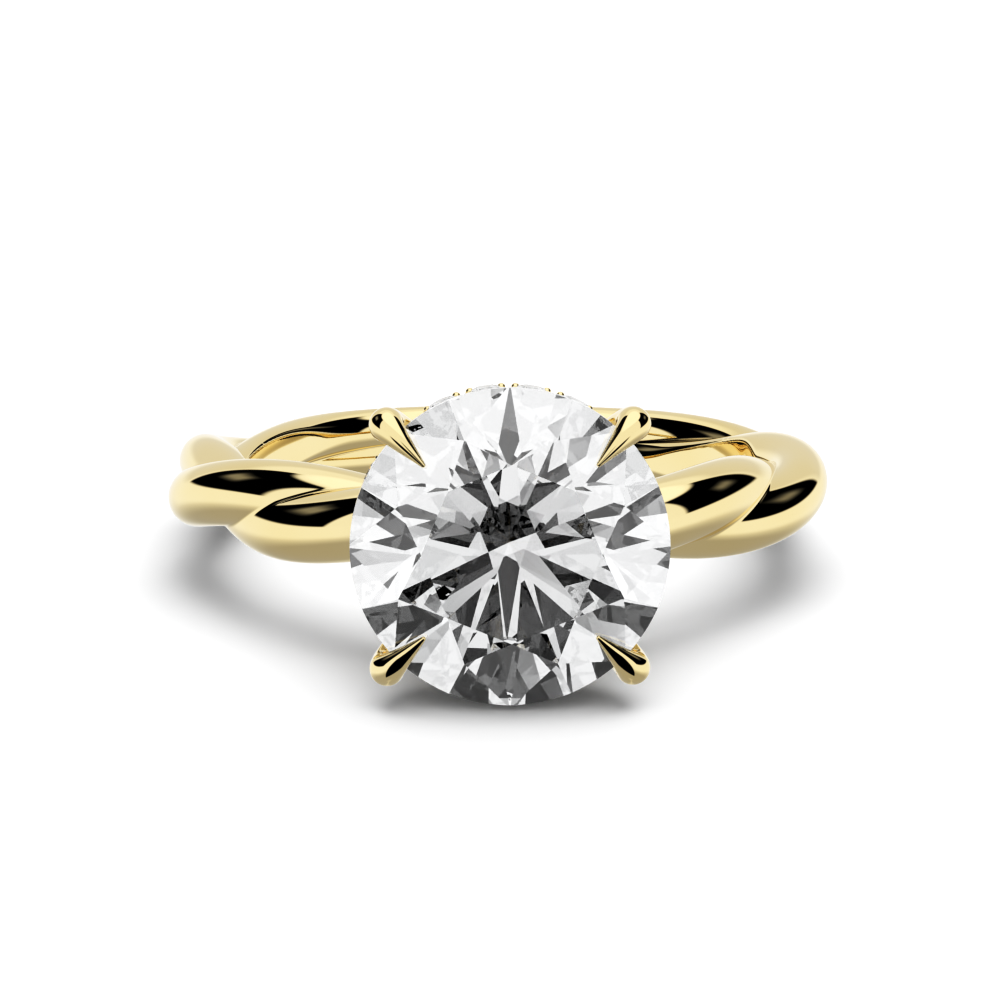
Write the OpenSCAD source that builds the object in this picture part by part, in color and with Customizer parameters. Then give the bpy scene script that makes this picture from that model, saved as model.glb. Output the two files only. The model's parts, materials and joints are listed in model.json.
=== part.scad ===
// Twisted shank ring: two strands of gold wound round each other all the way round the
// finger, with a round brilliant held in four pointed claws over a hidden halo.
// It lies on its side, resting on the beads of the halo and on the back of the band.

/* [Finger] */
// Inside diameter of the finger bore
bore_d = 17.3; // [16:0.1:20]

/* [Twisted shank] */
// Strand thickness where the band meets the head
strand_d_front = 2.46; // [2.2:0.02:2.8]
// Strand thickness at the back of the band
strand_d_back = 1.42; // [1.36:0.02:2]
// Distance from the bore wall out to the line that the strands wind round
band_line_gap = 0.97; // [0.9:0.01:1.1]
// How far each strand swings in and out from that line
swing_radial = 0.57; // [0.5:0.01:0.62]
// How far each strand swings up and down from that line
swing_axial = 0.47; // [0.4:0.01:0.6]
// Whole turns of the strands round each other in one trip round the band
twist_turns = 3; // [3:1:5]
// The twist is quick at the head and nearly stops at the back. Degrees that it gains on an
// even twist, in one wave a trip
twist_wave_1 = 84; // [70:1:90]
// Degrees that it gains in two waves a trip
twist_wave_2 = 34; // [28:1:38]
// Degrees that it gains in three waves a trip
twist_wave_3 = 8; // [0:1:9]

/* [Centre stone] */
// Girdle diameter of the centre stone
stone_d = 10; // [9:0.1:11]
// Width of the table across its corners
table_d = 5.6; // [5:0.1:6.2]
// Height from the girdle up to the table
crown_h = 1.5; // [1.2:0.05:1.8]
// Thickness of the girdle
girdle_h = 0.3; // [0.2:0.05:0.4]
// Depth from the girdle down to the culet
pavilion_h = 4.3; // [4:0.05:4.6]
// Metal left between the culet and the finger bore
culet_rise = 1.1; // [0.9:0.05:2]

/* [Claws and base] */
// Thickness of a claw
claw_d = 1.1; // [0.9:0.05:1.2]
// Depth of the notch that the edge of the stone sits in
claw_bite = 0.12; // [0.08:0.01:0.2]
// Clear space between a claw's stem and the underside of the stone
stem_gap = 0.16; // [0.12:0.02:0.4]
// How far a claw's point reaches in from the edge of the stone
claw_reach = 1.15; // [0.8:0.05:1.4]
// Height above the girdle that a claw's shoulder is drawn up to
claw_rise = 0.3; // [0.2:0.02:0.5]
// Gap left between the metal and every stone
seat_gap = 0.05; // [0.03:0.01:0.08]
// Height of the base cup above the culet
base_rise = 1.5; // [1:0.1:2]
// Wall of the base cup at its rim
base_wall = 0.6; // [0.4:0.05:0.9]
// Diameter of the base cup where it leaves the band
base_foot_d = 3; // [2.4:0.1:3.4]

/* [Hidden halo] */
// Girdle diameter of a halo stone
halo_d = 1.2; // [1:0.05:1.3]
// Width of a halo stone's table across its corners
halo_table_d = 0.68; // [0.5:0.02:0.76]
// Height from a halo stone's girdle up to its table
halo_crown_h = 0.17; // [0.12:0.01:0.2]
// Thickness of a halo stone's girdle
halo_girdle_h = 0.05; // [0.03:0.01:0.08]
// Depth from a halo stone's girdle down to its culet
halo_pavilion_h = 0.5; // [0.4:0.01:0.54]
// Metal between two neighbouring halo stones
halo_spacing = 0.22; // [0.16:0.02:0.4]
// Distance of the halo's middle behind the girdle of the centre stone
halo_drop = 1.25; // [1.2:0.05:1.5]
// How far the halo tables stay inside the edge of the centre stone
halo_inset = 0.08; // [0:0.01:0.15]
// Height of the gallery rail that carries the halo
rail_h = 1.44; // [1.36:0.02:1.5]
// Diameter of a bead that holds a halo stone
bead_d = 0.28; // [0.22:0.02:0.32]

/* [Hidden] */
gold = "#E6C877";
diamond = [0.93, 0.95, 0.97, 0.6];

// Smoothness of the twisted band: places round the finger, and sides of each strand
band_steps = 144;
lobe_sides = 12;
claw_sides = 12;
claw_steps = 7;
// Sides of turned forms, of the finger bore and of the small beads
turned_sides = 96;
bore_sides = 180;
bead_sides = 16;
// The first strand lies lowest at the back of the band
twist_at_back = -90;
// Cutting tools run this far past what they cut
overcut = 1;
// A claw's point ends blunt at this share of its thickness, sunk by half its radius into the seat
claw_point = 0.14;
point_sink = 0.5;
// How fast a claw narrows towards its point
claw_taper = 1.7;
// A claw starts this share of the base cup's foot out from the head's axis
claw_foot_share = 0.6;
// A claw's stem is straight for this share of its way out
claw_straight_share = 0.8;
// Angles of the claws round the head
claw_angles = [45, 135, 225, 315];
// A bead covers the edge of its stone by this share of its own radius
bead_cover = 0.25;
// Directions in which a bead can touch the ground, in degrees from straight down
bead_contacts = [0 : 2 : 30];
// How far the star facets reach from the table to the girdle, and the lower halves to the culet
star_reach = 0.5;
lower_reach = 0.8;
// Facets run out to this many girdle radii, clear of the cylinder that cuts them round
facet_overrun = 1.024;

bore_r = bore_d / 2;
band_line_r = bore_r + band_line_gap;
strand_r_mean = (strand_d_front + strand_d_back) / 4;
strand_r_taper = (strand_d_front - strand_d_back) / 4;
strand_reach = swing_axial + strand_d_front / 2;

// Distances along the head's axis from the centre of the finger bore
stone_r = stone_d / 2;
culet_at = bore_r + culet_rise;
girdle_at = culet_at + pavilion_h + girdle_h / 2;
table_at = girdle_at + girdle_h / 2 + crown_h;
pavilion_tilt = atan2(pavilion_h, stone_r);
crown_tilt = atan2(crown_h, stone_r - table_d / 2);

claw_r = claw_d / 2;

halo_at = girdle_at - halo_drop;
halo_table_r = stone_r - halo_inset;
rail_r = halo_table_r - halo_crown_h;
halo_girdle_r = rail_r - halo_girdle_h / 2;
halo_pitch = halo_d + halo_spacing;
halo_step = 2 * asin(halo_pitch / 2 / halo_girdle_r);
// As many halo stones as fit between two claws
claw_arc = 2 * PI * halo_girdle_r / len(claw_angles);
halo_per_side = floor((claw_arc - claw_d - halo_spacing) / halo_pitch);
halo_angles = [
    for (side = [0 : 90 : 270]) for (i = [0 : halo_per_side - 1])
        side + (i - (halo_per_side - 1) / 2) * halo_step
];
// A bead stands at each corner of a halo stone
bead_off = (halo_d + bead_d * (1 - bead_cover)) / 2 * cos(45);

function two_digits(n) = n < 10 ? str("0", n) : str(n);

halo_names = [for (i = [1 : len(halo_angles)]) str("halo_stone_", two_digits(i))];

// Radius of a strand at angle a round the band, where 0 is the head and 180 the back
function strand_r(a) = strand_r_mean + strand_r_taper * cos(a);

// How far the pair of strands has turned at angle a
function twist_at(a) =
    let (past = a - 180)
    twist_at_back - twist_turns * past + twist_wave_1 * sin(past)
        + twist_wave_2 * sin(2 * past) + twist_wave_3 * sin(3 * past);

// Outline of the pair of strands at angle a, as [distance from the bore axis, height]
function pair_section(a) =
    let (
        turn = twist_at(a),
        out = swing_radial * cos(turn),
        up = swing_axial * sin(turn),
        apart = norm([out, up]),
        lean = atan2(up, out),
        crease = 180 - acos(min(apart / strand_r(a), 1))
    )
    [
        for (strand = [0, 180]) for (i = [0 : lobe_sides - 1])
            let (
                middle = lean + strand,
                f = middle - crease + 2 * crease * i / lobe_sides
            )
            [
                band_line_r + apart * cos(middle) + strand_r(a) * cos(f),
                apart * sin(middle) + strand_r(a) * sin(f)
            ]
    ];

band_points = [
    for (s = [0 : band_steps - 1]) let (a = 360 * s / band_steps)
        for (p = pair_section(a)) [-p[0] * sin(a), -p[0] * cos(a), p[1]]
];

// Triangles between rings of points, each ring with the same number of sides
function skin(rings, sides, closed) = [
    for (s = [0 : rings - (closed ? 1 : 2)]) for (j = [0 : sides - 1])
        let (
            here = s * sides,
            next = (s + 1) % rings * sides,
            k = (j + 1) % sides
        )
        each [[here + j, next + j, next + k], [here + j, next + k, here + k]]
];

// Point at share t of a curve from p through the pull of q to r
function bend(p, q, r, t) = (1 - t) * (1 - t) * p + 2 * t * (1 - t) * q + t * t * r;

// Height of the line along which a claw climbs beside the pavilion
function stem_height(r) = culet_at + r * tan(pavilion_tilt) - (claw_r + stem_gap) / cos(pavilion_tilt);

// A claw's middle line in its own upright plane, as [distance from the head's axis, height]
crown_from = girdle_at + girdle_h / 2;
claw_stem_r = stone_r + claw_r - claw_bite;
claw_foot_r = base_foot_d / 2 * claw_foot_share;
claw_foot = [claw_foot_r, stem_height(claw_foot_r)];
claw_knee = [claw_stem_r, stem_height(claw_stem_r)];
claw_side = [claw_stem_r, girdle_at];
claw_shoulder = [claw_stem_r, crown_from + claw_rise];
claw_tip = [
    stone_r - claw_reach,
    crown_from + claw_reach * tan(crown_tilt) + seat_gap / cos(crown_tilt) + point_sink * claw_point * claw_r
];
// The stem leaves its straight line here and starts to bend upright
claw_bend = claw_foot + (claw_knee - claw_foot) * claw_straight_share;

// Each row is [point of the middle line, share of the full thickness]
claw_path = concat(
    [[claw_foot, 1]],
    [for (i = [0 : claw_steps - 1]) [bend(claw_bend, claw_knee, claw_side, i / claw_steps), 1]],
    [
        for (i = [0 : claw_steps])
            let (t = i / claw_steps)
            [bend(claw_side, claw_shoulder, claw_tip, t), 1 - (1 - claw_point) * pow(t, claw_taper)]
    ]
);

// Direction of the claw's middle line at one of its points
function claw_heading(i) =
    let (
        before = claw_path[max(i - 1, 0)][0],
        after = claw_path[min(i + 1, len(claw_path) - 1)][0]
    )
    (after - before) / norm(after - before);

claw_points = [
    for (i = [0 : len(claw_path) - 1])
        let (
            at = claw_path[i][0],
            r = claw_r * claw_path[i][1],
            way = claw_heading(i)
        )
        for (j = [0 : claw_sides - 1])
            let (a = 360 * j / claw_sides)
            [at[0] + way[1] * r * cos(a), r * sin(a), at[1] - way[0] * r * cos(a)]
];

claw_faces = concat(
    skin(len(claw_path), claw_sides, false),
    [[for (j = [0 : claw_sides - 1]) j]],
    [[for (j = [claw_sides - 1 : -1 : 0]) (len(claw_path) - 1) * claw_sides + j]]
);

// Places in the ring's own frame, as [y, z], that can touch the surface it lies on
girdle_touch = [-(girdle_at - girdle_h / 2), -stone_r];
low_claw = claw_angles[3];
claw_touches = [
    for (p = claw_points) [-p[2], p[0] * sin(low_claw) + p[1] * cos(low_claw)]
];
band_touches = [for (p = band_points) if (p[1] > band_line_r / 2 && p[2] < 0) [p[1], p[2]]];
rail_touch = [-(halo_at - rail_h / 2), -rail_r];
// A point of a halo stone or bead, [along the head, round the rail, out from the girdle]
function on_rail_point(angle, p) = [
    -(halo_at + p[0]),
    (halo_girdle_r + p[2]) * sin(angle) + p[1] * cos(angle)
];
lowest_halo_angles = [for (a = halo_angles) if (a > claw_angles[2] && a < claw_angles[3]) a];
bead_touches = [
    for (a = lowest_halo_angles) for (x = [-bead_off, bead_off]) for (y = [-bead_off, bead_off])
        let (middle = on_rail_point(a, [x, y, halo_girdle_h / 2]))
        for (w = bead_contacts)
            middle + bead_d / 2 * [sin(w), -cos(w)]
];
halo_touches = [
    for (a = lowest_halo_angles) for (w = [0 : 45 : 315])
        on_rail_point(a, [
            halo_table_d / 2 * cos(w),
            halo_table_d / 2 * sin(w),
            halo_girdle_h / 2 + halo_crown_h
        ])
];
head_touches = concat([girdle_touch, rail_touch], claw_touches, bead_touches, halo_touches);

// Steepest line from the head down to the back of the band that nothing reaches below
rest_tilt = max([
    for (h = head_touches)
        min([for (b = band_touches) atan2(b[1] - h[1], b[0] - h[0])])
]);

function tilted(p) = [
    p[0] * cos(rest_tilt) + p[1] * sin(rest_tilt),
    p[1] * cos(rest_tilt) - p[0] * sin(rest_tilt)
];

table_edge = [-table_at, -table_d / 2];
rest_front = min([for (p = concat([table_edge], claw_touches)) tilted(p)[0]]);
rest_back = max([for (p = band_points) tilted([p[1], p[2]])[0]]);
rest_low = min([for (p = head_touches) tilted(p)[1]]);

// Lays the ring down as it rests, centred over the origin
module at_rest() {
    translate([0, -(rest_front + rest_back) / 2, -rest_low])
        rotate([-rest_tilt, 0, 0])
            children();
}

// Turns a head built along +Z so that it points forward from the band
module on_head() {
    rotate([90, 0, 0]) children();
}

// A round brilliant with its table up and its girdle centred on the origin
module brilliant(d, table, crown, girdle, pavilion) {
    r = d / 2;
    table_r = table / 2;
    half = girdle / 2;
    // Half the angle of one of the eight main facets
    part = 360 / 16;
    wide = r * facet_overrun;
    crown_slope = crown / (r - table_r);
    pavilion_slope = pavilion / r;
    table_flat = table_r * cos(part);
    star_r = table_flat + (r - table_flat) * star_reach;
    star_z = half + crown - (star_r * cos(part) - table_r) * crown_slope;
    lower_r = r * (1 - lower_reach);
    lower_z = -half - pavilion + lower_r * cos(part) * pavilion_slope;
    upper_z = half - (wide - r) * crown_slope;
    under_z = -half + (wide - r) * pavilion_slope;
    points = concat(
        [for (i = [0 : 7]) [table_r * cos(45 * i), table_r * sin(45 * i), half + crown]],
        [for (i = [0 : 7]) [star_r * cos(45 * i + part), star_r * sin(45 * i + part), star_z]],
        [for (i = [0 : 15]) [wide * cos(part * i), wide * sin(part * i), upper_z]],
        [for (i = [0 : 15]) [wide * cos(part * i), wide * sin(part * i), under_z]],
        [for (i = [0 : 7]) [lower_r * cos(45 * i + part), lower_r * sin(45 * i + part), lower_z]],
        [[0, 0, -half - pavilion]]
    );
    // First point of each ring in the list above
    star = 8;
    upper = 16;
    under = 32;
    lower = 48;
    culet = 56;
    faces = concat(
        [[for (i = [7 : -1 : 0]) i]],
        [for (i = [0 : 7]) [i, (i + 1) % 8, star + i]],
        [for (i = [0 : 7]) each [
            [i, star + i, upper + 2 * i],
            [i, upper + 2 * i, star + (i + 7) % 8],
            [star + i, upper + (2 * i + 1) % 16, upper + 2 * i],
            [star + i, upper + (2 * i + 2) % 16, upper + 2 * i + 1]
        ]],
        [for (i = [0 : 15]) each [
            [upper + i, upper + (i + 1) % 16, under + (i + 1) % 16],
            [upper + i, under + (i + 1) % 16, under + i]
        ]],
        [for (i = [0 : 7]) each [
            [under + 2 * i, under + 2 * i + 1, lower + i],
            [under + 2 * i + 1, under + (2 * i + 2) % 16, lower + i],
            [under + 2 * i, lower + i, culet],
            [under + 2 * i, culet, lower + (i + 7) % 8]
        ]]
    );
    intersection() {
        polyhedron(points, faces);
        cylinder(h = 2 * (girdle + crown + pavilion), r = r, center = true, $fn = turned_sides);
    }
}

// Room for a brilliant, open towards its table, a gap wider than the stone all round
module stone_seat(d, crown, girdle, pavilion, gap) {
    r = d / 2;
    slope = atan2(pavilion, r);
    rotate_extrude($fn = turned_sides)
        polygon([
            [0, -girdle / 2 - pavilion - gap / cos(slope)],
            [r + gap, -girdle / 2 - gap * (1 / cos(slope) - tan(slope))],
            [r + gap, girdle / 2 + crown + gap],
            [0, girdle / 2 + crown + gap]
        ]);
}

// Room for the centre stone, which follows the slope of the crown under the claws
module center_seat() {
    top = girdle_h / 2;
    lift = seat_gap / cos(crown_tilt);
    low = seat_gap / cos(pavilion_tilt);
    edge = stone_r + seat_gap;
    rotate_extrude($fn = turned_sides)
        polygon([
            [0, -top - pavilion_h - low],
            [edge, -top - low + seat_gap * tan(pavilion_tilt)],
            [edge, top + lift - seat_gap * tan(crown_tilt)],
            [table_d / 2, top + crown_h + lift],
            [0, top + crown_h + lift]
        ]);
}

// The pair of wound strands, before the finger bore is cut
module twisted_band() {
    polyhedron(band_points, skin(band_steps, 2 * lobe_sides, true));
}

// Cup under the culet that joins the four claws to the band
module base_cup() {
    top = culet_at + base_rise;
    rim_r = base_rise / tan(pavilion_tilt) + seat_gap + base_wall;
    rotate_extrude($fn = turned_sides)
        polygon([[0, band_line_r], [base_foot_d / 2, band_line_r], [rim_r, top], [0, top]]);
}

module claw() {
    polyhedron(claw_points, claw_faces);
}

// Ring of metal under the girdle, with the seats of the halo in its outer wall
module gallery_rail() {
    top = halo_at + rail_h / 2;
    bottom = halo_at - rail_h / 2;
    rotate_extrude($fn = turned_sides)
        polygon([
            [(bottom - culet_at) / tan(pavilion_tilt) - seat_gap, bottom],
            [rail_r, bottom],
            [rail_r, top],
            [(top - culet_at) / tan(pavilion_tilt) - seat_gap, top]
        ]);
}

// Moves a piece built at the origin along +Z to one place on the rail, facing outward
module on_rail(angle) {
    translate([0, 0, halo_at])
        rotate([0, 0, angle])
            translate([halo_girdle_r, 0, 0])
                rotate([0, 90, 0])
                    children();
}

module halo_beads() {
    for (x = [-1, 1], y = [-1, 1])
        translate([x * bead_off, y * bead_off, halo_girdle_h / 2])
            sphere(d = bead_d, $fn = bead_sides);
}

// Gallery rail with its beads, drilled for the halo stones
module set_gallery() {
    difference() {
        union() {
            gallery_rail();
            for (a = halo_angles) on_rail(a) halo_beads();
        }
        for (a = halo_angles)
            on_rail(a) stone_seat(halo_d, halo_crown_h, halo_girdle_h, halo_pavilion_h, seat_gap);
    }
}

module ring_mount() {
    color(gold)
        at_rest()
            difference() {
                union() {
                    twisted_band();
                    on_head() {
                        base_cup();
                        set_gallery();
                        for (a = claw_angles) rotate([0, 0, a]) claw();
                    }
                }
                cylinder(h = 2 * (strand_reach + overcut), r = bore_r, center = true, $fn = bore_sides);
                on_head() translate([0, 0, girdle_at]) center_seat();
            }
}

module center_stone() {
    color(diamond)
        at_rest()
            on_head()
                translate([0, 0, girdle_at])
                    brilliant(stone_d, table_d, crown_h, girdle_h, pavilion_h);
}

module halo_stone(i) {
    color(diamond)
        at_rest()
            on_head()
                on_rail(halo_angles[i])
                    brilliant(halo_d, halo_table_d, halo_crown_h, halo_girdle_h, halo_pavilion_h);
}

ring_mount();
center_stone();
for (i = [0 : len(halo_names) - 1])
    halo_stone(i);
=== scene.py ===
"""Twisted shank ring: a claw-set round brilliant over a hidden halo, lying on its side.

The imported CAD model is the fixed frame. Its gold mount and its stones are stood for here by
finer meshes of the same forms in the same places. Forms are worked out in millimetres, in the
ring's own frame or in the head's, and RestingPlace lays them down in the frame's metres.
"""

import json
import logging
import math
from dataclasses import dataclass
from enum import Enum, IntEnum
from typing import Any, Iterable, Sequence

import bmesh
import bpy
import numpy as np
from mathutils import Matrix, Vector


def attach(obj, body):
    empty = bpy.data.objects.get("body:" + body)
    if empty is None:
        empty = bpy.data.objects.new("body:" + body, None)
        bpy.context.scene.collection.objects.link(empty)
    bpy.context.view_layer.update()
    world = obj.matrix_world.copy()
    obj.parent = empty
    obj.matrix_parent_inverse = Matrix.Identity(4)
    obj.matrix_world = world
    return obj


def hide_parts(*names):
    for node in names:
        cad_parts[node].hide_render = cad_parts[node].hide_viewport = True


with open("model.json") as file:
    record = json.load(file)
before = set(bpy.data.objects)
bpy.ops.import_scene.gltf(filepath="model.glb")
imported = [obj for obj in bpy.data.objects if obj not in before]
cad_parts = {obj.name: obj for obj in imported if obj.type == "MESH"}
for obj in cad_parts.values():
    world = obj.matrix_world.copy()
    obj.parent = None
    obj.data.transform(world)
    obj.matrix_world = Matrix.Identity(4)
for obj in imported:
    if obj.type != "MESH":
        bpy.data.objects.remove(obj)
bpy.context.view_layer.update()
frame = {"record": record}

log = logging.getLogger("twisted_shank_ring")

# A point of an outline, of a curve or of the image
Point = tuple[float, float]
Piece = bpy.types.Object
Tree = bpy.types.NodeTree
Socket = bpy.types.NodeSocket

MM = 0.001
BODY = "root"
MOUNT_NODE = "ring_mount"
# Turns a form built along +Z so that it points forward from the band, along -Y
FORWARD = Matrix.Rotation(math.pi / 2, 4, "X")
# How near its axis a turned outline comes, in millimetres, so that no two of its points meet
NEAR_AXIS = 1e-3
# Lengths and shares below this are rounding errors
NOTHING = 1e-9
# A direction with less than this along X stands well off it
OFF_X = 0.6
# Corners of a square, in order round it
SQUARE = ((1, 1), (-1, 1), (-1, -1), (1, -1))
# An edge between smooth faces is crisp where it turns by more than this
CREASE_DEG = 38
# The last of the four developing curves works on red, green and blue alike
EVERY_COLOUR = 3


class Shading(Enum):
    """How the faces of a mesh meet in the light."""

    FLOWING = "one smooth surface"
    CREASED = "smooth, with crisp edges where it turns sharply"
    FACETED = "each face flat"


class MixIn(IntEnum):
    """Inputs of a Mix node, which share their names and so go by number."""

    SHARE = 0
    FIRST = 2
    SECOND = 3
    FIRST_COLOUR = 6
    SECOND_COLOUR = 7


class MixOut(IntEnum):
    """Outputs of a Mix node."""

    VALUE = 0
    COLOUR = 2


class RangeIn(IntEnum):
    """Inputs of a Map Range node that works on vectors."""

    VECTOR = 6
    FROM_START = 7
    FROM_END = 8
    TO_START = 9
    TO_END = 10


def linear(code: str) -> tuple[float, float, float, float]:
    """Turns an sRGB hex colour to linear light.

    Args:
        code: The colour as "#RRGGBB".

    Returns:
        Red, green, blue and an alpha of 1.
    """
    parts = [int(code[i : i + 2], 16) / 255 for i in (1, 3, 5)]
    red, green, blue = (p / 12.92 if p <= 0.04045 else ((p + 0.055) / 1.055) ** 2.4 for p in parts)
    return red, green, blue, 1.0


def node(
    tree: Tree,
    kind: str,
    settings: dict[str, Any] | None = None,
    values: dict[str | int, Any] | None = None,
    links: dict[str | int, Socket] | None = None,
) -> bpy.types.Node:
    """Adds a node with its settings and links.

    Args:
        tree: The tree that the node goes into.
        kind: The node's type, as Blender names it after "ShaderNode".
        settings: The node's own properties.
        values: Values for its input sockets, by name, or by number where names repeat.
        links: Output sockets to link to its inputs, by the input's name or number.

    Returns:
        The new node.
    """
    made = tree.nodes.new("ShaderNode" + kind)
    for key, value in (settings or {}).items():
        setattr(made, key, value)
    for key, value in (values or {}).items():
        made.inputs[key].default_value = value
    for key, source in (links or {}).items():
        tree.links.new(source, made.inputs[key])
    return made


@dataclass(frozen=True)
class RestingPlace:
    """Where the ring lies, read from the bore that the record states.

    Attributes:
        centre: Centre of the finger bore, in metres.
        tilt: Angle in radians by which the head is lifted above the back of the band.
    """

    centre: Vector
    tilt: float

    @classmethod
    def of_record(cls, record: dict[str, Any]) -> "RestingPlace":
        """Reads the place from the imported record.

        Args:
            record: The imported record.

        Returns:
            The place of the finger bore.
        """
        bore = next(m for m in record["mounts"] if m["name"] == "finger_bore")
        axis = Vector(bore["axis"])
        return cls(Vector(bore["pos_m"]), math.atan2(axis.y, axis.z))

    @property
    def ring(self) -> Matrix:
        """Takes the ring's millimetres to the frame's metres."""
        turn = Matrix.Rotation(-self.tilt, 4, "X")
        return Matrix.Translation(self.centre) @ turn @ Matrix.Scale(MM, 4)

    @property
    def head(self) -> Matrix:
        """Takes the head's upright millimetres to the frame's metres."""
        return self.ring @ FORWARD


@dataclass(frozen=True)
class Form:
    """A mesh before it is made into an object.

    Attributes:
        points: One row of three lengths, in millimetres, for each point.
        faces: Numbers of the points round each face.
    """

    points: np.ndarray
    faces: list[tuple[int, ...]]

    def moved(self, matrix: Matrix) -> "Form":
        """Gives a copy of the form in another place.

        Args:
            matrix: The move, in millimetres.

        Returns:
            The moved copy.
        """
        m = np.array(matrix)
        return Form(self.points @ m[:3, :3].T + m[:3, 3], self.faces)

    @staticmethod
    def joined(forms: Iterable["Form"]) -> "Form":
        """Puts several forms into one.

        Args:
            forms: The forms, each in its place.

        Returns:
            One form with all their points and faces.
        """
        points: list[np.ndarray] = []
        faces: list[tuple[int, ...]] = []
        count = 0
        for form in forms:
            points.append(form.points)
            faces += [tuple(i + count for i in face) for face in form.faces]
            count += len(form.points)
        return Form(np.concatenate(points), faces)

    def mesh(self, name: str, place: Matrix, shading: Shading) -> bpy.types.Mesh:
        """Makes the Blender mesh, with its faces turned outward.

        Args:
            name: Name of the mesh.
            place: Takes the form's millimetres to the frame's metres.
            shading: How the faces meet.

        Returns:
            The mesh.
        """
        mesh = bpy.data.meshes.new(name)
        mesh.from_pydata(self.moved(place).points.tolist(), [], self.faces)
        work = bmesh.new()
        work.from_mesh(mesh)
        bmesh.ops.recalc_face_normals(work, faces=work.faces)
        work.to_mesh(mesh)
        work.free()
        shade(mesh, shading)
        return mesh


def shade(mesh: bpy.types.Mesh, shading: Shading) -> None:
    """Sets how the faces of a mesh meet.

    Args:
        mesh: The mesh.
        shading: How its faces meet.
    """
    if shading is Shading.FACETED:
        mesh.shade_flat()
        return
    mesh.shade_smooth()
    if shading is Shading.CREASED:
        mesh.set_sharp_from_angle(angle=math.radians(CREASE_DEG))


def skin(rings: int, sides: int, closed: bool) -> list[tuple[int, ...]]:
    """Lists the faces between rings of points that follow each other.

    Args:
        rings: How many rings there are.
        sides: How many points each ring has.
        closed: Whether the last ring meets the first.

    Returns:
        The four-sided faces, and one at each open end.
    """
    faces: list[tuple[int, ...]] = []
    for here in range(rings if closed else rings - 1):
        a, b = here * sides, (here + 1) % rings * sides
        faces += [(a + j, b + j, b + (j + 1) % sides, a + (j + 1) % sides) for j in range(sides)]
    if not closed:
        last = (rings - 1) * sides
        faces += [tuple(range(sides)), tuple(last + j for j in reversed(range(sides)))]
    return faces


def turned(outline: Sequence[Point], sides: int) -> Form:
    """Turns a closed outline round the Z axis.

    Args:
        outline: Pairs of distance from the axis and height, in millimetres.
        sides: How many steps there are in a full turn.

    Returns:
        The turned form, a closed ring.
    """
    r, z = np.array(outline).T
    a = np.linspace(0, 2 * math.pi, sides, endpoint=False)[:, None]
    points = np.stack([r * np.cos(a), r * np.sin(a), np.broadcast_to(z, (sides, len(z)))], axis=-1)
    return Form(points.reshape(-1, 3), skin(sides, len(z), True))


def swept(line: np.ndarray, radius: np.ndarray, dome_deg: Sequence[float], sides: int) -> Form:
    """Sweeps a round section along a line over the +X axis, flat at its start, domed at its end.

    Args:
        line: Distance from the Z axis and height of each section's middle, in millimetres.
        radius: Radius of each section.
        dome_deg: Angles up the dome at which it has a section.
        sides: How many points a section has.

    Returns:
        The swept form, closed.
    """
    way = np.gradient(line, axis=0)
    way /= np.linalg.norm(way, axis=1)[:, None]
    up = np.radians(dome_deg)
    line = np.concatenate([line, line[-1] + way[-1] * radius[-1] * np.sin(up)[:, None]])
    radius = np.concatenate([radius, radius[-1] * np.cos(up)])
    way = np.concatenate([way, np.repeat(way[-1:], len(up), axis=0)])
    a = np.linspace(0, 2 * math.pi, sides, endpoint=False)
    across, beam = radius[:, None] * np.cos(a), radius[:, None] * np.sin(a)
    out, height = line[:, :1] + way[:, 1:] * across, line[:, 1:] - way[:, :1] * across
    points = np.stack([out, beam, height], axis=-1)
    return Form(points.reshape(-1, 3), skin(len(line), sides, False))


def rounded(outline: Sequence[Point], radius: float, steps: int = 5) -> list[Point]:
    """Rounds every corner of a closed outline.

    Args:
        outline: The corners in order.
        radius: How far from a corner its rounding starts, in millimetres.
        steps: Points in each rounding, less one.

    Returns:
        The outline with a short curve in place of each corner.
    """
    corners = [Vector(p) for p in outline]
    made: list[Point] = []
    for i, corner in enumerate(corners):
        before, after = corners[i - 1], corners[(i + 1) % len(corners)]
        start = corner + (before - corner).normalized() * radius
        end = corner + (after - corner).normalized() * radius
        made += [tuple(bend(start, corner, end, k / steps)) for k in range(steps + 1)]
    return made


def bend(p: Vector, q: Vector, r: Vector, t: float) -> Vector:
    """Finds a point of the curve from p to r that q pulls towards itself.

    Args:
        p: Where the curve starts.
        q: What pulls it.
        r: Where it ends.
        t: Share of the way along.

    Returns:
        The point.
    """
    return (1 - t) ** 2 * p + 2 * t * (1 - t) * q + t * t * r


def slant(slope: float) -> float:
    """Gives the length along a slope for each millimetre outward."""
    return math.sqrt(1 + slope**2)


def soft_least(a: np.ndarray, b: np.ndarray, blend: float) -> np.ndarray:
    """Takes the lesser of two lengths, rounding over where they cross.

    Args:
        a: The first lengths.
        b: The second lengths.
        blend: Difference at which the rounding starts, in millimetres.

    Returns:
        The lesser lengths.
    """
    near = np.maximum(blend - np.abs(a - b), 0)
    return np.minimum(a, b) - near**2 / (4 * blend)


def clipped(polygon: list[np.ndarray], normal: np.ndarray, limit: float) -> list[np.ndarray]:
    """Keeps what lies on the inner side of a plane.

    Args:
        polygon: The polygon's corners.
        normal: Outward direction of the plane.
        limit: Distance of the plane along it.

    Returns:
        The corners that are left.
    """
    kept: list[np.ndarray] = []
    over = [float(normal @ p - limit) for p in polygon]
    for k, p in enumerate(polygon):
        q, a, b = polygon[k - 1], over[k], over[k - 1]
        if a * b < 0 and min(abs(a), abs(b)) > NOTHING:
            kept.append(q + (p - q) * (b / (b - a)))
        if a <= NOTHING:
            kept.append(p)
    return kept


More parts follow.
